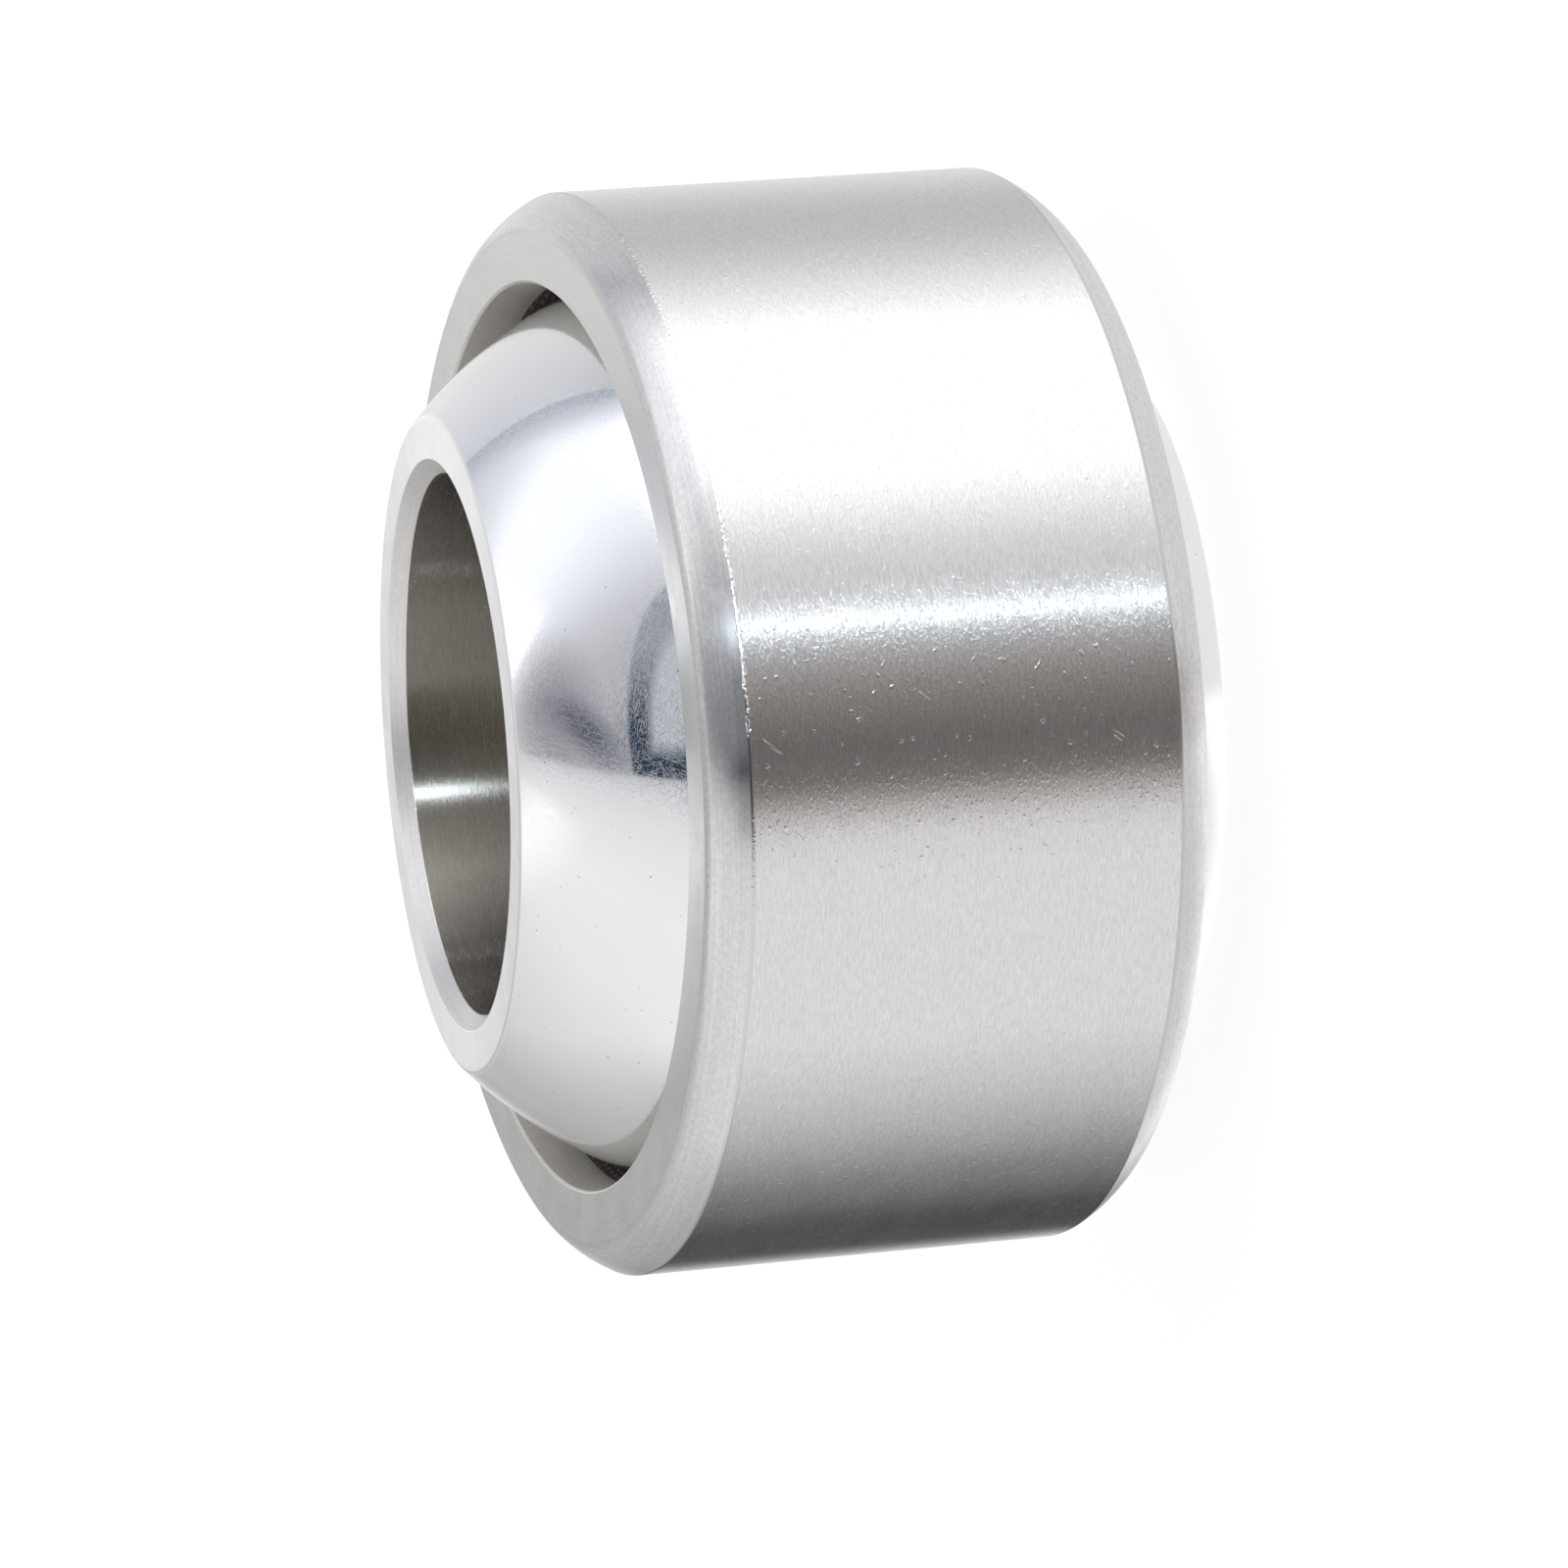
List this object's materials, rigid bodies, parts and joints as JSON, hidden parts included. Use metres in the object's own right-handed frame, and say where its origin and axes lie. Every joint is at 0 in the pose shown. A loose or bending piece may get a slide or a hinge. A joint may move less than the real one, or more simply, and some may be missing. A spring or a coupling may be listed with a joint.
{
  "type": "spherical plain bearing",
  "caption": "Radial spherical plain bearing: a polished ball-shaped inner ring with a bore swivels in a lined steel outer ring, to carry a shaft that is out of line.",
  "frame": {"origin": "centre of the ball, which is the centre of both rings", "axes": "+Z along the bore; the bearing stands on the lower end face of the inner ring; X is the axis that the outer ring tilts about"},
  "size_m": [0.032, 0.0328, 0.021],
  "materials": {
    "ring_steel": "ground, fine grain round the outside",
    "liner_fabric": "matt woven composite",
    "ball_chrome": "polished, with fine polishing lines"
  },
  "bodies": {
    "inner": {"inner_ring": "ball_chrome"},
    "outer": {"outer_ring": "ring_steel", "liner": "liner_fabric"}
  },
  "joints": [
    {"name": "tilt", "type": "hinge", "parent": "inner", "child": "outer", "pos_m": [0, 0, 0], "axis": [1, 0, 0], "range_deg": [-19, 11]}
  ]
}
